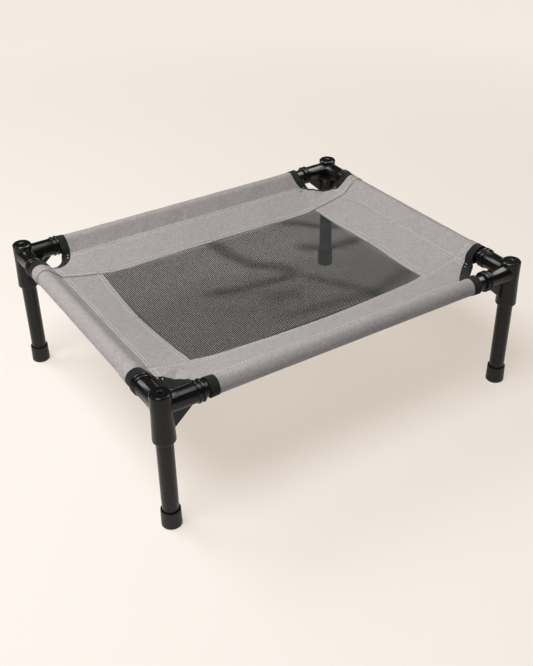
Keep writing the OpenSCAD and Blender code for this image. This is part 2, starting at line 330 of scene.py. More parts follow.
def folds(a, b, x, y):
    """All folds at a point of the cover: those of the nearer strip, and the corner's creases.

    Two opposite corners have stronger creases than the other two, and in slightly other places.
    """
    v, front_h = section(a)
    u, left_h = section(b)
    nearer = smooth((front_h - left_h) / STRIP_BLEND + 0.5)
    long_folds = strip_folds(a, x, LONG_PHASE + np.sign(y))
    short_folds = strip_folds(b, y, SHORT_PHASE + np.sign(x))
    strength = 1 + CREASE_CONTRAST * np.sign(x) * np.sign(y)
    creases = sum(crease(u * strength ** 0.2, v, *each, CREASE_FADES) for each in CREASES)
    return nearer * long_folds + (1 - nearer) * short_folds + strength * creases


print("folds: %d bands on each strip, %d creases at each corner" % (len(FOLD_BANDS) + 1, len(CREASES)))

# %% [markdown]
# The open corner is drawn on the cloth while it is still flat, in its two path lengths: straight up the
# first sleeve's mouth, along a shallow arc, and straight down the other. Drawn on the bent surface it
# would need trimming. On the flat cloth it is one line with a normal at each point, and a tape of
# constant width is the same line moved along those normals. No two corners are quite alike: the cover has
# slid a little on three tubes, and one corner is cut less deep and slants on its short sleeve.

# %% Edges of the open corners
NOTCH_SIDE = 13.0
SLEEVE_TOP = -24.0
EDGE_STEP = 0.5
EDGE_SOFTNESS = 3.0

a_side = float(length_at(NOTCH_SIDE))


def circle_through(p, q, r):
    """Centre and radius of the circle through three points of the plane."""
    rows = 2 * np.array([q - p, r - p])
    centre = np.linalg.solve(rows, np.array([q @ q - p @ p, r @ r - p @ p]))
    return centre, float(np.linalg.norm(p - centre))


class OpenCorner:
    """One open corner: how it is mirrored, and the edge of its cloth as points (b, a) one step apart.

    The edge goes up the long sleeve's mouth, along the circle through three points, and down the short
    sleeve's mouth. A slant ends the arc nearer to the corner, and from there the edge runs straight to the
    mouth on top of the short sleeve. A Gaussian average rounds the kinks.
    """

    def __init__(self, name, sign_x, sign_y, slip_long, slip_short, depth, slant=0.0):
        self.name, self.sign_x, self.sign_y = name, sign_x, sign_y
        self.even = sign_x * sign_y > 0
        self.long_mouth, self.short_mouth = long_mouth + slip_long, short_mouth + slip_short
        first = np.array([length_at(self.long_mouth), a_side])
        last = np.array([a_side, length_at(self.short_mouth - slant)])
        self.centre, self.radius = circle_through(first, np.full(2, length_at(depth)), last)
        start, stop = (np.arctan2(*(point - self.centre)[::-1]) for point in (first, last))
        angle = np.linspace(start, stop, 80)
        arc = self.centre + self.radius * np.stack([np.cos(angle), np.sin(angle)], axis=1)
        mouth_a = length_at(self.short_mouth)
        turns = np.vstack([[first[0], a_start], arc, [SLEEVE_TOP, mouth_a], [a_start, mouth_a]])
        lengths = run_lengths(turns)
        self.run = np.arange(0, lengths[-1], EDGE_STEP)
        self.line = softened(points_at(turns, lengths, self.run), EDGE_STEP, EDGE_SOFTNESS)
        way = unit(np.gradient(self.line, axis=0))
        self.normal = np.stack([way[:, 1], -way[:, 0]], axis=1)
        self.end = self.run[-1]
        self.middle = self.run[np.argmin(np.abs(self.line[:, 0] - self.line[:, 1]))]

    def edge_at(self, run, inset=0.0):
        """Path lengths (a, b) at run along the edge, moved by inset into the cloth."""
        run, inset = np.broadcast_arrays(np.asarray(run, float), np.asarray(inset, float))
        b, a = (np.interp(run, self.run, spot) + inset * np.interp(run, self.run, normal)
                for spot, normal in zip(self.line.T, self.normal.T))
        return a, b


CORNERS = {
    # signs of X and Y: the corner, how far its long and short sleeve mouths have slid, how deep it is
    # cut, and how far it slants
    (-1, -1): OpenCorner("front_left", -1, -1, 0.0, 0.0, 35.0),
    (1, -1): OpenCorner("front_right", 1, -1, 5.0, 3.5, 35.0),
    (-1, 1): OpenCorner("back_left", -1, 1, -6.0, 0.0, 33.0, 14.0),
    (1, 1): OpenCorner("back_right", 1, 1, 6.0, 0.0, 35.0),
}
for corner in CORNERS.values():
    print("%s: edge %.0f mm long, arc radius %.0f mm" % (corner.name, corner.end, corner.radius))

# %% [markdown]
# The long strips end in wings that lap over the short strips and over the short tubes, the sleeves open a
# little at their mouths, and the taut tape rolls the edge down between the tubes. A sculpting brush could
# do all three. As moves along the normal they are a few lines, and these serve the cloth, the tape on its
# edge and the thread through both alike.

# %% Lifts and the world place of the cloth
# How far each moves the cloth, and where it starts and over what length it grows or fades
LAP_LIFT = 0.85
LAP_START, LAP_RISE = 22.0, 12.0
LAP_END, LAP_FALL = 16.0, 14.0
MOUTH_LIFT = 1.1
MOUTH_FADE = 9.0
MOUTH_START, MOUTH_RISE = 30.0, 15.0
MOUTH_SEAM = 10.0
CURL = 8.0
CURL_FADE = 6.0
CURL_START, CURL_RISE = 8.0, 12.0


def lap_lift(a, b):
    """How far a wing of a long strip stands on the short strip below it.

    It rises a little before the wing's outer edge and is gone a little past the short strip's hem.
    """
    rising = smooth((section(a)[0] - hem_in + LAP_START) / LAP_RISE)
    falling = smooth((hem_in + LAP_END - section(b)[0]) / LAP_FALL)
    return LAP_LIFT * (rising * falling)


def flare(d, mouth, length):
    """Flare of one sleeve at distance d along its tube: full at the mouth, and none inwards of the seam."""
    fading = np.exp(-np.clip(d - mouth, 0, None) / MOUTH_FADE) * smooth((d - MOUTH_START) / MOUTH_RISE)
    return MOUTH_LIFT * (fading * smooth(-length / MOUTH_SEAM))


def mouth_lift(corner, a, b):
    """Flare of the long and the short sleeve towards the open corner."""
    return flare(section(b)[0], corner.long_mouth, a) + flare(section(a)[0], corner.short_mouth, b)


def curl(corner, a, b):
    """Drop of the cloth towards the open corner, whose taut tape rolls the edge down between the tubes.

    The underlay below a seam goes down with the cloth above it, and its own normal points down.
    """
    below_a, below_b = a < a_start + 2 * UNDERLAY, b < a_start + 2 * UNDERLAY
    a = np.where(below_a, a_start + UNDERLAY - a, a)
    b = np.where(below_b, a_start + UNDERLAY - b, b)
    inside = np.hypot(b - corner.centre[0], a - corner.centre[1]) - corner.radius
    between = smooth((a + CURL_START) / CURL_RISE) * smooth((b + CURL_START) / CURL_RISE)
    drop = CURL * np.exp(-np.clip(inside, 0, None) / CURL_FADE) * between
    return np.where(below_a | below_b, -drop, drop)


def place(base, corner):
    """World place, in millimetres, of a front left point (u, v, h), mirrored to the corner by its signs."""
    x = corner.sign_x * (half_x - base[..., 0])
    y = corner.sign_y * (half_y - base[..., 1])
    return np.stack([x, y, rail_z + base[..., 2]], axis=-1)


def cloth(a, b, lift, corner):
    """Points of the cover at path lengths a and b, moved along the normal by lift, curl and folds."""
    a, b = np.broadcast_arrays(np.asarray(a, float), np.asarray(b, float))
    base = cover_base(a, b)
    spot = place(base, corner)
    moved = lift + mouth_lift(corner, a, b) - curl(corner, a, b)
    moved = moved + folds(a, b, spot[..., 0], spot[..., 1])
    return place(base + moved[..., None] * cover_normal(a, b), corner)


print("lifts: wings %.2f mm, mouths %.1f mm, edges curl %.0f mm down" % (LAP_LIFT, MOUTH_LIFT, CURL))

# %% [markdown]
# Grids of points become meshes in one step: number the points, list the squares, and merge the points
# that two grids share. Blender's Merge by Distance would do it too. Rounding the coordinates and asking
# numpy for the unique rows does the same without leaving the arrays.

# %% From grids to a mesh


def grid_faces(rows, columns, closed=False):
    """Corner numbers of every square of a grid; in a closed one the last column meets the first."""
    number = np.arange(rows * columns).reshape(rows, columns)
    if closed:
        number = np.concatenate([number, number[:, :1]], axis=1)
    squares = [number[:-1, :-1], number[:-1, 1:], number[1:, 1:], number[1:, :-1]]
    return np.stack(squares, axis=-1).reshape(-1, 4)


def join(grids):
    """Points, squares and cloth coordinates of several grids, with shared points merged.

    Each grid is its points, their cloth coordinates, and whether its squares are flipped.
    """
    points, marks, faces = [], [], []
    count = 0
    for spots, coordinates, flipped in grids:
        squares = grid_faces(*spots.shape[:2]) + count
        points.append(spots.reshape(-1, 3))
        marks.append(coordinates.reshape(-1, 2))
        faces.append(squares[:, ::-1] if flipped else squares)
        count += spots.shape[0] * spots.shape[1]
    points, marks, faces = np.vstack(points), np.vstack(marks), np.vstack(faces)
    _, first, back_to = np.unique(np.round(points, 3), axis=0, return_index=True, return_inverse=True)
    return points[first], back_to.reshape(-1)[faces], marks[first]


def make_mesh(name, points, faces, marks=None):
    """Mesh object from points and faces of one size; marks become its UV map. All are in millimetres."""
    mesh = bpy.data.meshes.new(name)
    faces = np.asarray(faces, np.int32)
    sides = faces.shape[1]
    mesh.vertices.add(len(points))
    mesh.vertices.foreach_set("co", (np.asarray(points) * MM).astype(np.float32).ravel())
    mesh.loops.add(faces.size)
    mesh.loops.foreach_set("vertex_index", faces.ravel())
    mesh.polygons.add(len(faces))
    mesh.polygons.foreach_set("loop_start", np.arange(0, faces.size, sides, dtype=np.int32))
    mesh.update(calc_edges=True)
    mesh.polygons.foreach_set("use_smooth", np.ones(len(faces), bool))
    if marks is not None:
        layer = mesh.uv_layers.new(name="cloth")
        layer.data.foreach_set("uv", np.asarray(marks, np.float32)[faces.ravel()].ravel())
    mesh.validate()
    piece = bpy.data.objects.new(name, mesh)
    scene.collection.objects.link(piece)
    return piece


def flat_area(faces, marks):
    """Area of the cut cloth in square metres: half the cross product of each square's diagonals."""
    square = marks[faces]
    one, two = square[:, 2] - square[:, 0], square[:, 3] - square[:, 1]
    return float(np.abs(one[:, 0] * two[:, 1] - one[:, 1] * two[:, 0]).sum() / 2 * MM ** 2)


print("grids: 3 rows of 5 points make %d squares" % len(grid_faces(3, 5)))

# %% [markdown]
# Every strip is a grid. Its rows follow the section: from below the seam round the tube, down the slope,
# and round the hem that is turned under. A thicker edge could stand for the hem, but a real fold shows
# its round edge and its second layer. At an open corner the same rows follow the corner's edge.

# %% Rows of the strips
SLEEVE_ROWS = 60
ARC_ROWS = 36
HEM_TURN = 9.0

# The hem from the strip's edge round its fold and back below, and how far that lies under the strip
hem_a = a_hem + np.array([0.2, 0.2, 0, -HEM_TURN / 3, -HEM_TURN * 2 / 3, -HEM_TURN])
hem_lift = -LAYER * np.array([0.25, 0.75, 1, 1, 1, 1])

# Rows across a strip: evenly round the sleeve, evenly down the slope, and then the hem
sleeve_run = a_side - a_start
sleeve_a, slope_a = np.linspace(a_start, a_side, SLEEVE_ROWS), np.linspace(a_side, a_hem, ARC_ROWS)
outer_a = np.concatenate([sleeve_a, slope_a[1:]])
strip_a = np.concatenate([outer_a, hem_a])
strip_turn = np.concatenate([np.zeros(len(outer_a)), hem_lift])


def row_runs(corner, end):
    """The same rows as runs along the open corner's edge, from one of its ends to its middle."""
    side = end + np.sign(corner.middle - end) * sleeve_run
    arc = np.linspace(side, corner.middle, ARC_ROWS)
    return np.concatenate([np.linspace(end, side, SLEEVE_ROWS), arc[1:]])


print("rows: %d from sleeve to hem, %d more in the hem" % (len(outer_a), len(hem_a)))

# %% [markdown]
# A long strip is cut in one piece with its two wings, so its grid has three parts. Two lie between the
# corner opening and the outer edge, mirrored in the diagonal: one leads to the middle of the strip, and
# the other is the wing over the short tube. The third is the straight middle. Cutting one sheet with a
# Boolean would leave ragged faces, while these columns crowd towards the opening, where the cloth bends.

# %% Long strips
PATCH_COLUMNS = 24
MIDDLE_COLUMNS = 54
EDGE_CROWDING = 1.5


def strip_half(corner):
    """Grids of one half of a long strip: patch, wing and straight middle, with the hem turned under."""
    across = np.linspace(0, 1, PATCH_COLUMNS) ** EDGE_CROWDING
    outer = outer_a[:, None]
    near_a, near_b = (lengths[:, None] for lengths in corner.edge_at(row_runs(corner, 0.0)))
    patch_a = near_a + (outer - near_a) * across
    patch_b = near_b + (a_hem - near_b) * across
    far_a, far_b = (lengths[:, None] for lengths in corner.edge_at(row_runs(corner, corner.end)))
    wing_a = np.hstack([far_a + (a_hem - far_a) * across, np.tile(hem_a, (len(far_a), 1))])
    wing_b = np.hstack([far_b + (outer - far_b) * across, np.tile(outer, (1, len(hem_a)))])
    wing_turn = np.concatenate([np.zeros(PATCH_COLUMNS), hem_lift])
    middle_b = length_at(np.linspace(hem_in, half_x, MIDDLE_COLUMNS))
    parts = [
        (patch_a, patch_b, 0.0, False),
        (wing_a, wing_b, wing_turn, True),
        (*np.meshgrid(strip_a, middle_b, indexing="ij"), strip_turn[:, None], False),
    ]
    grids = []
    for a, b, turned, swapped in parts:
        spots = cloth(a, b, turned + lap_lift(a, b), corner)
        straight = np.where(b > a_hem, a_hem + section(b)[0] - hem_in, b)
        mark_x = corner.sign_x * (half_x - hem_in + a_hem - straight)
        marks = np.stack([mark_x, corner.sign_y * (a - 2 * turned)], axis=-1)
        grids.append((spots, marks, swapped == corner.even))
    return grids


def sewn_strip(side, wings, halves):
    """The strip of one side, from the grids of its two halves, with the thickness of its cloth.

    It rides on the frame, the CAD pieces it stands for are hidden, and the sheet it is cut from is printed.
    """
    points, faces, marks = join(halves)
    strip = make_mesh("cover_" + side, points, faces, marks)
    skin = strip.modifiers.new("cloth thickness", "SOLIDIFY")
    skin.thickness = CLOTH_T * MM
    skin.offset = 0
    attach(strip, "frame")
    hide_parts(side + "_strip", *wings)
    length, width = (np.ptp(marks, axis=0) * MM).tolist()
    area = min(flat_area(faces, marks), length * width)
    cut = "%.0f by %.0f mm, %.4f m2" % (length / MM, width / MM, area)
    print("%s: %d squares, cut from %s" % (strip.name, len(faces), cut))
    return strip


covers = []
for side, sign_y in (("front", -1), ("back", 1)):
    wings = ["corner_wing_%s_%s" % (side, end) for end in ("left", "right")]
    halves = strip_half(CORNERS[-1, sign_y]) + strip_half(CORNERS[1, sign_y])
    covers.append(sewn_strip(side, wings, halves))

# %% [markdown]
# The short strips are plain lengths of the same section. A lofted curve would do for them, but the same
# functions make their weave and folds match the long strips. Their ends tuck in below the wings, so they
# dip a little there and the wing's folded edge casts its thin shadow on them.

# %% Short strips
TUCK = 11.0
TUCK_DIP = 0.3
TUCK_START, TUCK_RISE = 4.0, 14.0
SHORT_COLUMNS = 44


def short_half(corner):
    """Grid of one half of a short strip, from its tucked end to the middle of the side."""
    middle_a = length_at(np.linspace(hem_in - TUCK, half_y, SHORT_COLUMNS))
    b, a = np.meshgrid(strip_a, middle_a, indexing="ij")
    turned = strip_turn[:, None]
    v = section(a)[0]
    dip = TUCK_DIP * (1 - smooth((v - hem_in + TUCK_START) / TUCK_RISE))
    spots = cloth(a, b, turned - dip, corner)
    marks = np.stack([corner.sign_y * (half_y - v), corner.sign_x * (b - 2 * turned)], axis=-1)
    return spots, marks, corner.even


for side, sign_x in (("left", -1), ("right", 1)):
    halves = [short_half(CORNERS[sign_x, sign_y]) for sign_y in (-1, 1)]
    covers.append(sewn_strip(side, [], halves))

# %% [markdown]
# Black tape is folded over the cloth's cut edge, all the way round each open corner and both sleeve
# mouths. A curve with a bevel profile could carry it, but it would twist where the edge climbs onto the
# tubes. Here a closed section, a U with a rounded nose, is carried along the edge on the cloth's own
# normals, so that the tape lies flat on both faces everywhere.

# %% Corner tapes
TAPE_OUT = CLOTH_T / 2 + TAPE_T
TAPE_IN = CLOTH_T / 2 + 0.02
NOSE = 0.7
TAPE_STEP = 1.1
TAPE_MIDDLE = 4


def tape_section():
    """Closed U round the cloth's edge, as places in from the edge and heights off the cloth.

    Down the outer side to the nose, round it, back on the under side, and the same way on the cloth's two
    faces. The point numbered TAPE_MIDDLE lies amid the outer side.
    """
    bend = np.linspace(np.pi / 2, 3 * np.pi / 2, 8)
    side_r = np.array([TAPE_W, TAPE_W - 0.25, 8.0, 6.0, 4.0, 2.0])
    side_h = TAPE_OUT - np.array([0.3, 0.04, 0, 0, 0, 0])
    outer_r = np.concatenate([side_r, 0.1 + NOSE * np.cos(bend), side_r[::-1]])
    outer_h = np.concatenate([side_h, TAPE_OUT * np.sin(bend), -side_h[::-1]])
    inner_r = np.array([TAPE_W - 0.05, 5.0, 0.4, 0.4, 5.0, TAPE_W - 0.05])
    inner_h = TAPE_IN * np.array([-1, -1, -1, 1, 1, 1])
    return np.concatenate([outer_r, inner_r]), np.concatenate([outer_h, inner_h])


def corner_tape(corner):
    """Tape round one open corner: the U section carried along the edge, with closed ends."""
    inset, height = tape_section()
    skipped = UNDERLAY - 1
    runs = np.linspace(skipped, corner.end - skipped, int(corner.end / TAPE_STEP))
    a, b = corner.edge_at(runs[:, None], inset[None, :])
    spots = cloth(a, b, height + lap_lift(a, b), corner)
    rows, columns = spots.shape[:2]
    pairs = np.arange(columns // 2 - 1)
    cap = np.stack([pairs, pairs + 1, columns - 2 - pairs, columns - 1 - pairs], axis=-1)
    last_cap = (cap + (rows - 1) * columns)[:, ::-1]
    faces = np.vstack([grid_faces(rows, columns, closed=True), cap, last_cap])
    reach = run_lengths(spots[:, TAPE_MIDDLE])
    marks = np.stack(np.broadcast_arrays(reach[:, None], inset[None, :]), axis=-1)
    if corner.even:
        faces = faces[:, ::-1]
    tape = make_mesh("tape_" + corner.name, spots.reshape(-1, 3), faces, marks.reshape(-1, 2))
    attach(tape, "frame")
    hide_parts("corner_binding_" + corner.name)
    return tape


tapes = [corner_tape(corner) for corner in CORNERS.values()]

# %% [markdown]
# The mesh is a plain weave of coated yarns with square holes. A flat sheet with a see-through texture
# would be lighter, but its holes would vanish in the exported mesh. So each yarn is real: a flat
# three-sided strand with one ring of points at every crossing, up at one and down at the next. The sheet
# sags from its four hems, and soft creases cross it as in the photograph. The yarns crowd together in
# them, so that less of the floor shows through and the creases look dark.

# %% Mesh weave
PITCH = 2.35
YARN_W = 1.54
YARN_T = 0.34
MESH_TUCK = 6.0
MESH_SAG = 4.5
MESH_BELOW = 1.25
CREASE_DEPTH = 1.1
RIPPLE = 0.5
CROWDING = 0.31
MESH_FADES = (0.7, 0.7)
MESH_CREASES = [
    # bent line in plan, share of the full depth, half width
    ([(-2, 150), (0, 113), (3, 78), (17, 43), (42, 23), (57, -17)], 0.85, 10.5),
    ([(50, 0), (71, -48), (97, -99), (110, -130)], 0.5, 10.0),
    ([(-90, 17), (-33, 4), (13, -2), (60, -12)], 0.75, 9.0),
    ([(82, 58), (111, 33), (130, 24), (171, 21), (200, 20)], 0.8, 10.0),
    ([(98, 130), (131, 105), (144, 86), (168, 70), (190, 60)], 0.8, 9.5),
    ([(-33, -33), (9, -44), (35, -57)], 0.4, 12.0),
    ([(-60, -84), (54, -97), (95, -104), (150, -92), (190, -70)], 0.5, 11.0),
]


def mesh_creases(x, y):
    """Share of the crease depth at a place of the mesh: the sum of all creases, at most 1."""
    return np.minimum(sum(crease(x, y, *each, MESH_FADES) for each in MESH_CREASES), 1)


def mesh_height(x, y):
    """Height of the mesh above the rail axis: hem line, sag, rise below the hems, creases, ripple."""
    share_x, share_y = slack(x, mesh_x), slack(y, mesh_y)
    middle = share_x * share_y
    sag = HEM_SAG * (share_x + share_y - middle) + MESH_SAG * middle ** 1.5
    beyond = np.maximum(np.abs(x) - mesh_x, 0) + np.maximum(np.abs(y) - mesh_y, 0)
    rise = beyond * (mesh_drop - SEAM_DROP) / (hem_in - SEAM_IN)
    ripple = RIPPLE * waves(x + 0.4 * y, [83, 57], 1.3) * waves(y - 0.3 * x, [71, 49], 0.4) * middle
    return -mesh_drop - MESH_BELOW - sag + rise - CREASE_DEPTH * mesh_creases(x, y) + ripple


def yarns(count_along, count_across, reach_along, reach_across, swapped):
    """Points and faces of one set of yarns: strands along one axis, three points round at each crossing.

    A strand's height swings by half its thickness up or down, by whether crossing and strand are even.
    """
    at = np.linspace(-reach_along, reach_along, count_along)
    over = np.linspace(-reach_across, reach_across, count_across)
    parity = np.add.outer(np.arange(count_across), np.arange(count_along) + swapped) % 2
    weave = (parity - 0.5) * YARN_T
    side = YARN_W / 2 * np.array([-1, 0, 1])
    rise = YARN_T / 2 * np.array([-1, 1, -1])
    lengthwise = np.broadcast_to(at[None, :, None], (count_across, count_along, 3))
    centre = np.broadcast_to(over[:, None, None], lengthwise.shape)
    centre_x, centre_y = (centre, lengthwise) if swapped else (lengthwise, centre)
    sideways = centre + side * (1 + CROWDING * mesh_creases(centre_x, centre_y))
    x, y = (sideways, lengthwise) if swapped else (lengthwise, sideways)
    z = rail_z + mesh_height(centre_x, centre_y) + weave[..., None] + rise
    spots = np.stack([x, y, z], axis=-1)
    number = np.arange(lengthwise.size).reshape(lengthwise.shape)
    strand = grid_faces(count_along, 3, closed=True)[:, ::-1]
    sides = (number[:, :1, :1] + strand).reshape(-1, 4)
    faces = np.vstack([sides[:, [0, 1, 2]], sides[:, [0, 2, 3]], number[:, 0], number[:, -1, ::-1]])
    return spots.reshape(-1, 3), faces[:, ::-1 if swapped else 1]


reach_x, reach_y = mesh_x + MESH_TUCK, mesh_y + MESH_TUCK
count_x, count_y = int(2 * reach_x / PITCH) + 1, int(2 * reach_y / PITCH) + 1
weft, weft_faces = yarns(count_x, count_y, reach_x, reach_y, 0)
warp, warp_faces = yarns(count_y, count_x, reach_y, reach_x, 1)
mesh_faces = np.vstack([weft_faces, warp_faces + len(weft)])
mesh_weave = make_mesh("mesh_weave", np.vstack([weft, warp]), mesh_faces)
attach(mesh_weave, "frame")
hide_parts("mesh_panel")
print("mesh: %d by %d yarns, %d triangles" % (count_x, count_y, len(mesh_weave.data.polygons)))

# %% [markdown]
# Pale thread shows as broken lines on the cloth. A dotted texture could draw them, but thread stands on the
# cloth and catches light. Each stitch is a small capsule of few faces, laid on the surface by its two path
# lengths and turned along its row.

# %% One stitch and a row of them
STITCH = 4.2
STITCH_LEN = 2.9
THREAD_R = 0.36


def capsule():
    """Stitch along X, five-sided: four rings, small and low at its ends and full between them."""
    place_x = np.array([-0.5, -0.36, 0.36, 0.5]) * STITCH_LEN
    radius = THREAD_R * np.array([0.35, 1, 1, 0.35])
    drop = THREAD_R * np.array([-0.9, 0, 0, -0.9])
    angle = np.arange(5) * 2 * np.pi / 5
    x = np.repeat(place_x, 5)
    y = np.outer(radius, np.cos(angle)).ravel()
    z = np.outer(radius, np.sin(angle)).ravel() + np.repeat(drop, 5)
    # Each end has five corners: a square and a triangle
    squares = np.vstack([grid_faces(4, 5, closed=True), [[4, 3, 1, 0], [15, 16, 18, 19]]])
    triangles = np.vstack([squares[:, [0, 1, 2]], squares[:, [0, 2, 3]], [[3, 2, 1], [16, 17, 18]]])
    return np.stack([x, y, z], axis=1), triangles


def stitch_row(a, b, lift, corner):
    """Middle, direction and normal of each stitch on the line through path lengths a and b."""
    a, b = np.broadcast_arrays(np.asarray(a, float), np.asarray(b, float))
    raised = lift + lap_lift(a, b)
    line = cloth(a, b, raised, corner)
    normal = cloth(a, b, raised + 1, corner) - line
    lengths = run_lengths(line)
    at = np.arange(STITCH / 2, lengths[-1] - STITCH / 2, STITCH)
    spot = points_at(line, lengths, at)
    ahead = points_at(line, lengths, at + 0.5) - spot
    return spot, ahead, points_at(normal, lengths, at)


def sew(name, rows):
    """One object of all stitches in the rows: the capsule turned by each stitch's three axes."""
    spot, ahead, normal = (np.vstack(part) for part in zip(*rows))
    ahead = unit(ahead)
    side = unit(np.cross(normal, ahead))
    shape, triangles = capsule()
    axes = np.stack([ahead, side, np.cross(ahead, side)], axis=1)
    points = spot[:, None, :] + np.einsum("mk,nkj->nmj", shape, axes)
    faces = triangles[None, :, :] + (np.arange(len(spot)) * len(shape))[:, None, None]
    thread = make_mesh(name, points.reshape(-1, 3), faces.reshape(-1, 3))
    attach(thread, "frame")
    print("%s: %d stitches" % (name, len(spot)))
    return thread


print("stitch: %d triangles, %.1f mm long" % (len(capsule()[1]), STITCH_LEN))

# %% [markdown]
# A machine sews in straight lines along the cloth: two rows at each sleeve's seam, two at each hem, one
# along each wing. In path lengths each row is a constant and a range, so no curve has to be drawn. A seam
# row climbs onto the tape for its last stitch, so it is sewn in two parts at two heights.

# %% Rows of stitches
SEAM_ROWS = [1.2, 6.0]
HEM_ROWS = [a_hem - 1.8, a_hem - 7.4]
LAP_ROW = a_hem - 4.2
ON_CLOTH = CLOTH_T / 2 + 0.1
ON_TAPE = TAPE_OUT + 0.1
TAPE_RUN = 1.4 * STITCH


def crossing(corner, seam, which):
    """Path lengths where a seam row ends, one stitch on the tape, and where it crosses the tape's border.

    which is 1 for a row along the long sleeve and 0 for one along the short sleeve.
    """
    half = corner.run[corner.run <= corner.middle]
    if which == 0:
        half = corner.run[corner.run >= corner.middle][::-1]
    lines = [corner.edge_at(half, inset) for inset in (TAPE_W / 2, TAPE_W)]
    middle, border = (float(np.interp(seam, line[1 - which], line[which])) for line in lines)
    return max(middle, border - TAPE_RUN), border


def long_rows(sign_y):
    """Rows of a long strip: seams from opening to opening, the hem, and a topstitch on each wing."""
    rows = []
    middle = length_at(half_x)
    for sign_x in (-1, 1):
        corner = CORNERS[sign_x, sign_y]
        for seam in SEAM_ROWS:
            end, border = crossing(corner, seam, 1)
            rows.append(stitch_row(seam, np.linspace(end, border, 24), ON_TAPE, corner))
            rows.append(stitch_row(seam, np.linspace(border, middle, 200), ON_CLOTH, corner))
            end, border = crossing(corner, seam, 0)
            rows.append(stitch_row(np.linspace(end, border, 24), seam, ON_TAPE, corner))
            rows.append(stitch_row(np.linspace(border, a_hem, 40), seam, ON_CLOTH, corner))
        for hem in HEM_ROWS:
            rows.append(stitch_row(hem, np.linspace(a_hem - 3, middle, 160), ON_CLOTH, corner))
        wing = np.linspace(length_at(0.0), a_hem - 4, 120)
        rows.append(stitch_row(LAP_ROW, wing, ON_CLOTH, corner))
    return rows


def short_rows(sign_x):
    """Rows of a short strip, from wing to wing: two at the seam and two at the hem."""
    a = length_at(np.linspace(hem_in + 0.5, half_y, 140))
    return [stitch_row(a, b, ON_CLOTH, CORNERS[sign_x, sign_y])
            for sign_y in (-1, 1) for b in SEAM_ROWS + HEM_ROWS]


threads = [
    sew("stitches_front", long_rows(-1)),
    sew("stitches_back", long_rows(1)),
    sew("stitches_left", short_rows(-1)),
    sew("stitches_right", short_rows(1)),
]

# %% [markdown]
# Finishes are built from nodes. They could be wired by hand in the Shader Editor, but here each one reads
# like a recipe: what the stuff is, how its surface was made, and what that gives the eye. A few helpers
# are enough for all of them: one turns a screen colour into the linear values that the shader wants, one
# adds a node with its settings and its links, and one starts a finish whose colour drifts between two
# tones, as almost every real surface does.

# %% Helpers for the finishes


def linear(code, alpha=1.0):
    """Linear colour of an sRGB hex code: each channel by the sRGB curve."""
    channel = np.array([int(code[k:k + 2], 16) for k in (1, 3, 5)]) / 255
    value = np.where(channel <= 0.04045, channel / 12.92, ((channel + 0.055) / 1.055) ** 2.4)
    return (*value.tolist(), alpha)


def plug(node, inputs):
    """Sets each of a node's inputs to a value, or links it to a socket."""
    for key, value in inputs.items():
        if isinstance(value, bpy.types.NodeSocket):
            node.id_data.links.new(value, node.inputs[key])
        else:
            node.inputs[key].default_value = value


def add(tree, kind, settings=None, inputs=None, out=0):
    """Adds a node with its settings and its inputs; returns one of its outputs, by number or name."""
    node = tree.nodes.new("ShaderNode" + kind)
    for name, value in (settings or {}).items():
        setattr(node, name, value)
    plug(node, inputs or {})
    return node.outputs[out]


def new_finish(name, surface):
    """A material with its shader's inputs set; returns the material, its tree and its shader."""
    material = bpy.data.materials.new(name)
    material.use_nodes = True
    shader = material.node_tree.nodes["Principled BSDF"]
    plug(shader, surface)
    return material, material.node_tree, shader


def toned_finish(name, coordinates, patch, detail, tones, surface):
    """A material whose colour drifts between two tones, by noise with patches of that many millimetres.

    Returns the material, its tree and shader, and the sockets of its coordinates and its drift. Object
    coordinates are metres, and the cloth coordinates in the UV map are millimetres.
    """
    material, tree, shader = new_finish(name, surface)
    spot = add(tree, "TexCoord", out=coordinates)
    scale = 1 / (patch * (MM if coordinates == "Object" else 1))
    drift = add(tree, "TexNoise", None, {"Vector": spot, "Scale": scale, "Detail": detail})
    dark, light = (linear(tone) for tone in tones)
    tone = add(tree, "Mix", {"data_type": "RGBA"}, {0: drift, 6: dark, 7: light}, 2)
    plug(shader, {"Base Color": tone})
    return material, tree, shader, spot, drift


def wave_scale(period):
    """Scale of a Wave texture whose bands repeat every period, in the units of its vector."""
    return 2 * np.pi / 20 / period


def give(material, pieces):
    """Makes a material the only one on each piece."""
    for piece in pieces:
        piece.data.materials.clear()
        piece.data.materials.append(material)
    print("finish: %s on %d pieces" % (material.name, len(pieces)))


print("helpers: screen grey #808080 is %.3f in linear light" % linear("#808080")[0])

# %% [markdown]
# The strips are polyester oxford, a plain weave with a coated back. A picture of cloth could be tiled over
# them, but it would repeat, so the weave is two crossed waves. Its yarns lie about 0.5 mm apart, which is
# too fine for the picture, so it is drawn at about twice that. Yarns of uneven grey and a faint mottle
# keep it from looking printed, and a little sheen stands for the fuzz.

# %% Woven polyester cloth
WEAVE_MM = 1.15
MOTTLE_MM = 200 / 9  # nine patches in 200 mm
SLUB_MM = (6.25, 4 / 3)  # a thick place in a yarn: its length and width


def uneven_yarn(tree, spot, slub):
    """Noise stretched along one set of yarns, with patches the size of a slub, so that some look darker."""
    stretched = add(tree, "Mapping", None, {"Vector": spot, "Scale": (1 / slub[0], 1 / slub[1], 1)})
    return add(tree, "TexNoise", None, {"Vector": stretched, "Scale": 1.0, "Detail": 2.0})


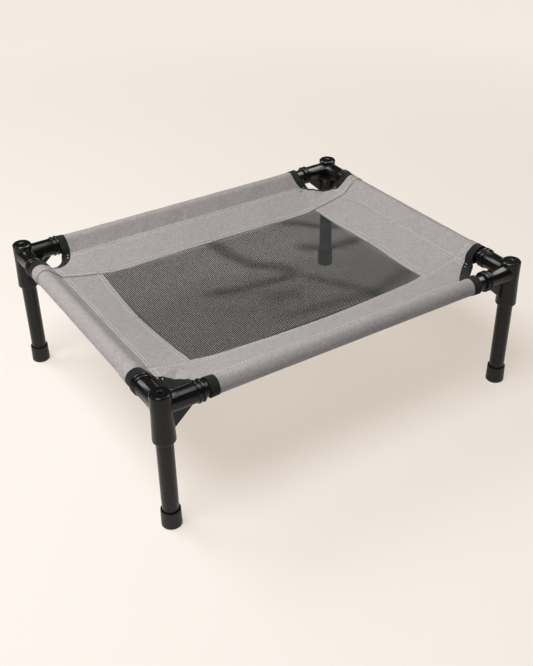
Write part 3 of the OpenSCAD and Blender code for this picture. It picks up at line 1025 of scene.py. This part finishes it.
def woven_cloth():
    """Grey oxford cloth: two crossed bands on its cloth coordinates give bump, noise varies the grey."""
    material, tree, shader = new_finish("woven polyester oxford", {
        "Roughness": 0.86, "Sheen Weight": 0.12, "Sheen Roughness": 0.45, "Specular IOR Level": 0.28})
    spot = add(tree, "TexCoord", out="UV")
    band = {"Vector": spot, "Scale": wave_scale(WEAVE_MM), "Distortion": 0.6, "Detail": 1.0,
            "Detail Scale": 0.4}
    warp_band, weft_band = (add(tree, "TexWave", {"bands_direction": way}, band) for way in "XY")
    weave = add(tree, "Math", {"operation": "MULTIPLY"}, {0: warp_band, 1: weft_band})
    warp_yarn, weft_yarn = (uneven_yarn(tree, spot, slub) for slub in (SLUB_MM, SLUB_MM[::-1]))
    crossed = add(tree, "Math", {"operation": "ADD"}, {0: warp_yarn, 1: weft_yarn})
    mottle = add(tree, "TexNoise", None,
                 {"Vector": spot, "Scale": 1 / MOTTLE_MM, "Detail": 4.0, "Roughness": 0.65})
    dark, light = linear("#9C9694"), linear("#AAA4A2")
    shade = add(tree, "Mix", {"data_type": "RGBA"}, {0: mottle, 6: dark, 7: light}, 2)
    speck = add(tree, "Math", {"operation": "MULTIPLY_ADD"}, {0: weave, 1: 0.34, 2: 0.31})
    speckled = add(tree, "Math", {"operation": "MULTIPLY_ADD"}, {0: crossed, 1: 0.6, 2: speck})
    toned = add(tree, "Mix", {"data_type": "RGBA", "blend_type": "MULTIPLY"},
                {0: 1.0, 6: shade, 7: speckled}, 2)
    bump = add(tree, "Bump", None, {"Height": weave, "Strength": 0.25, "Distance": 0.2 * MM})
    plug(shader, {"Base Color": toned, "Normal": bump})
    return material


give(woven_cloth(), covers)

# %% [markdown]
# The hard pieces are all near black, so what tells them apart is gloss: the moulded connectors are smooth
# and catch sharp lights, powder coat is satin with a fine orange peel, and the foot caps are dull. A plain
# dark colour would look like a drawing, so tone and gloss drift together over each piece.

# %% Hard black finishes
NOISE_SPAN = (0.3, 0.7)  # where most of a noise texture's values lie
WEAR_MM = 50 / 3  # three patches of wear in 50 mm
DUST_MM = 100 / 9  # nine patches of dust in 100 mm


def hard_black(name, patch, detail, tones, roughness, grain, bump, surface):
    """A hard black surface whose roughness drifts with its tone, with a grain in its bump.

    roughness is its range, grain the size in millimetres and the detail of the noise in the bump, and bump
    its strength and its depth in millimetres.
    """
    material, tree, shader, spot, drift = toned_finish(name, "Object", patch, detail, tones, surface)
    gloss = add(tree, "MapRange", None, {0: drift, 1: NOISE_SPAN[0], 2: NOISE_SPAN[1],
                                         3: roughness[0], 4: roughness[1]})
    relief = add(tree, "TexNoise", None, {"Vector": spot, "Scale": 1 / (grain[0] * MM), "Detail": grain[1]})
    tilted = add(tree, "Bump", None, {"Height": relief, "Strength": bump[0], "Distance": bump[1] * MM})
    plug(shader, {"Roughness": gloss, "Normal": tilted})
    return material


def moulded_plastic():
    """Black moulded plastic: sharp lights, hardly broken by its fine grain, on a gloss worn by handling."""
    return hard_black("moulded black polypropylene", patch=WEAR_MM, detail=3.0, tones=("#0D0D0C", "#161514"),
                      roughness=(0.19, 0.25), grain=(0.9, 2.0), bump=(0.05, 0.05),
                      surface={"IOR": 1.49, "Specular IOR Level": 0.3})


def powder_coat():
    """Satin black powder coat on steel tube: softer lights, rippled by an orange peel 1.5 mm across."""
    return hard_black("powder coated steel tube", patch=25.0, detail=3.0, tones=("#141312", "#1E1C1B"),
                      roughness=(0.22, 0.3), grain=(1.5, 1.0), bump=(0.12, 0.08),
                      surface={"IOR": 1.5, "Specular IOR Level": 0.28})


def foot_plastic():
    """Soft black vinyl of the foot caps: dull, with a faint dusty drift and no sharp lights."""
    return hard_black("moulded soft vinyl", patch=DUST_MM, detail=4.0, tones=("#151413", "#1F1D1C"),
                      roughness=(0.42, 0.55), grain=(DUST_MM, 4.0), bump=(0.08, 0.2),
                      surface={"IOR": 1.5, "Specular IOR Level": 0.35})


def named(*words):
    """The frame's pieces with one of the words in their names."""
    return [piece for name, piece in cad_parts.items() if any(word in name for word in words)]


give(moulded_plastic(), named("corner_connector"))
give(powder_coat(), named("rail", "leg_tube"))
give(foot_plastic(), named("foot_cap"))

# %% [markdown]
# The dark textiles hardly shine. The tape is ribbed and matt, the mesh yarn is coated and a little lighter,
# and the thread is pale. Pictures of cloth could be laid on them, but waves and noise at the real spacing
# stay sharp however close the camera comes.

# %% Dark textiles and thread
RIB_MM = 1.3
FUZZ_MM = 10 / 11  # eleven tufts in 10 mm
YARN_DRIFT_MM = 50 / 3  # three patches in 50 mm


def woven_tape():
    """Black binding tape: ribs across its length, drawn 1.3 mm apart so that they show, and a matt fuzz."""
    material, tree, shader, spot, _ = toned_finish(
        "woven binding tape", "UV", patch=FUZZ_MM, detail=3.0, tones=("#100F0F", "#1E1D1C"),
        surface={"Roughness": 0.85, "Sheen Weight": 0.06, "Sheen Roughness": 0.5,
                 "Specular IOR Level": 0.2})
    ribs = add(tree, "TexWave", {"bands_direction": "X"},
               {"Vector": spot, "Scale": wave_scale(RIB_MM), "Distortion": 0.8, "Detail": 2.0})
    bump = add(tree, "Bump", None, {"Height": ribs, "Strength": 0.5, "Distance": 0.25 * MM})
    plug(shader, {"Normal": bump})
    return material


def coated_yarn():
    """Vinyl coated polyester yarn of the mesh: dark with a soft shine, and a slow drift over the sheet."""
    return toned_finish("coated mesh yarn", "Object", patch=YARN_DRIFT_MM, detail=2.0,
                        tones=("#313334", "#393B3C"),
                        surface={"Roughness": 0.7, "Specular IOR Level": 0.2})[0]


def sewing_thread():
    """Pale grey polyester thread of two plies twisted about every millimetre; its lighter spots are painted
    glints.
    """
    return toned_finish("twisted polyester thread", "Object", patch=1.0, detail=1.0,
                        tones=("#CDC9C6", "#E6E3E0"), surface={"Roughness": 0.6, "Sheen Weight": 0.2})[0]


give(woven_tape(), tapes)
give(coated_yarn(), [mesh_weave])
give(sewing_thread(), threads)

# %% [markdown]
# Moulded parts have no knife edges. A Bevel modifier on the connectors and caps rounds each sharp edge by
# a fraction of a millimetre, and that is what catches the thin bright lines in the photograph. A Bevel
# node could fake this in the finish, but the exported mesh would stay sharp. The frame's triangles come
# unjoined, so a Weld goes first.

# %% Soft edges on the moulded pieces
EDGE_R = 0.5
SHARP = np.radians(32)
WELD_GAP = 0.01

moulded = named("corner_connector", "foot_cap")
for piece in moulded:
    weld = piece.modifiers.new("weld", "WELD")
    weld.merge_threshold = WELD_GAP * MM
    edge = piece.modifiers.new("soft edges", "BEVEL")
    edge.width = EDGE_R * MM
    edge.segments = 2
    edge.limit_method = "ANGLE"
    edge.angle_limit = SHARP
    edge.harden_normals = True
print("soft edges: %.1f mm on %d pieces" % (EDGE_R, len(moulded)))

# %% [markdown]
# The stage is a pale floor that runs past the picture's edges. More light would turn it white, but the
# cloth too. So the camera and the mirrors see the floor partly glowing, and more so far away, while
# light that bounces from it onto the cot meets plain paint.

# %% Floor
FLOOR_HALF = 9.0
GLOW_SHARES = (0.61, 0.95)
GLOW_REACH = (0.5, 1.6)

floor_points = np.array([[-1, -1, 0], [1, -1, 0], [1, 1, 0], [-1, 1, 0]]) * FLOOR_HALF / MM
floor = make_mesh("floor", floor_points, np.array([[0, 1, 2, 3]]))


def pale_floor():
    """Matt pale paint that looks partly lit from within, more so far away, to the camera and mirrors."""
    material, tree, shader = new_finish("matt pale floor", {
        "Base Color": linear("#F0F4F6"), "Roughness": 0.75, "Specular IOR Level": 0.2})
    paint = shader.outputs[0]
    spot = add(tree, "TexCoord", out="Object")
    distance = add(tree, "VectorMath", {"operation": "LENGTH"}, {0: spot}, "Value")
    far = add(tree, "MapRange", None, {0: distance, 1: GLOW_REACH[0], 2: GLOW_REACH[1]})
    share = add(tree, "MapRange", None, {0: far, 3: GLOW_SHARES[0], 4: GLOW_SHARES[1]})
    tint = add(tree, "Mix", {"data_type": "RGBA"}, {0: far, 6: linear("#FFF0E0"), 7: linear("#F7EEE3")}, 2)
    glow = add(tree, "Emission", None, {"Color": tint, "Strength": 1.0})
    seen = add(tree, "MixShader", None, {0: share, 1: paint, 2: glow})
    ray = add(tree, "LightPath").node.outputs
    mirrored = add(tree, "Math", {"operation": "MAXIMUM"},
                   {0: ray["Is Glossy Ray"], 1: ray["Is Transmission Ray"]})
    looked_at = add(tree, "Math", {"operation": "MAXIMUM"}, {0: ray["Is Camera Ray"], 1: mirrored})
    both = add(tree, "MixShader", None, {0: looked_at, 1: paint, 2: seen})
    plug(tree.nodes["Material Output"], {"Surface": both})
    return material


give(pale_floor(), [floor])

# %% [markdown]
# Two soft lights give the cloth its shade: a window behind to the left and a ceiling panel above to the
# left. One picture of a room round the scene could light it too, but then nothing could be moved alone. Two
# cards show in mirrors only, and give the connectors' arms their bright bands. The sky is very dim.

# %% Lights and sky


def area_light(name, spot, aim, width, height, watts, mirrored_only=False):
    """A soft white rectangle of light at spot, in metres, turned to aim; a card shows in mirrors alone."""
    lamp = bpy.data.lights.new(name, "AREA")
    lamp.shape = "RECTANGLE"
    lamp.size = width
    lamp.size_y = height
    lamp.energy = watts
    lamp_object = bpy.data.objects.new(name, lamp)
    lamp_object.visible_diffuse = not mirrored_only
    away = unit(np.subtract(spot, aim))
    side = unit(np.cross([0, 0, 1], away))
    put(lamp_object, side, np.cross(away, side), away, spot)


area_light("window", (-0.9, 1.2, 1.6), (0, 0, 0.1), 1.1, 0.8, 22)
area_light("ceiling", (-0.8, -0.3, 1.8), (-0.3, -0.1, 0.1), 0.9, 0.9, 28)
area_light("right card", (1.6, -0.1, 1.85), (1.6, 0.0, 0.1), 1.3, 1.7, 70, mirrored_only=True)
area_light("middle card", (0.35, -0.25, 1.9), (0.35, 0.0, 0.1), 0.8, 1.4, 14, mirrored_only=True)
world = bpy.data.worlds.new("studio")
world.use_nodes = True
plug(world.node_tree.nodes["Background"], {"Color": linear("#FDFDFF"), "Strength": 0.04})
scene.world = world
scene.view_settings.view_transform = "Standard"
print("lights: two lamps, two cards and a dim sky")
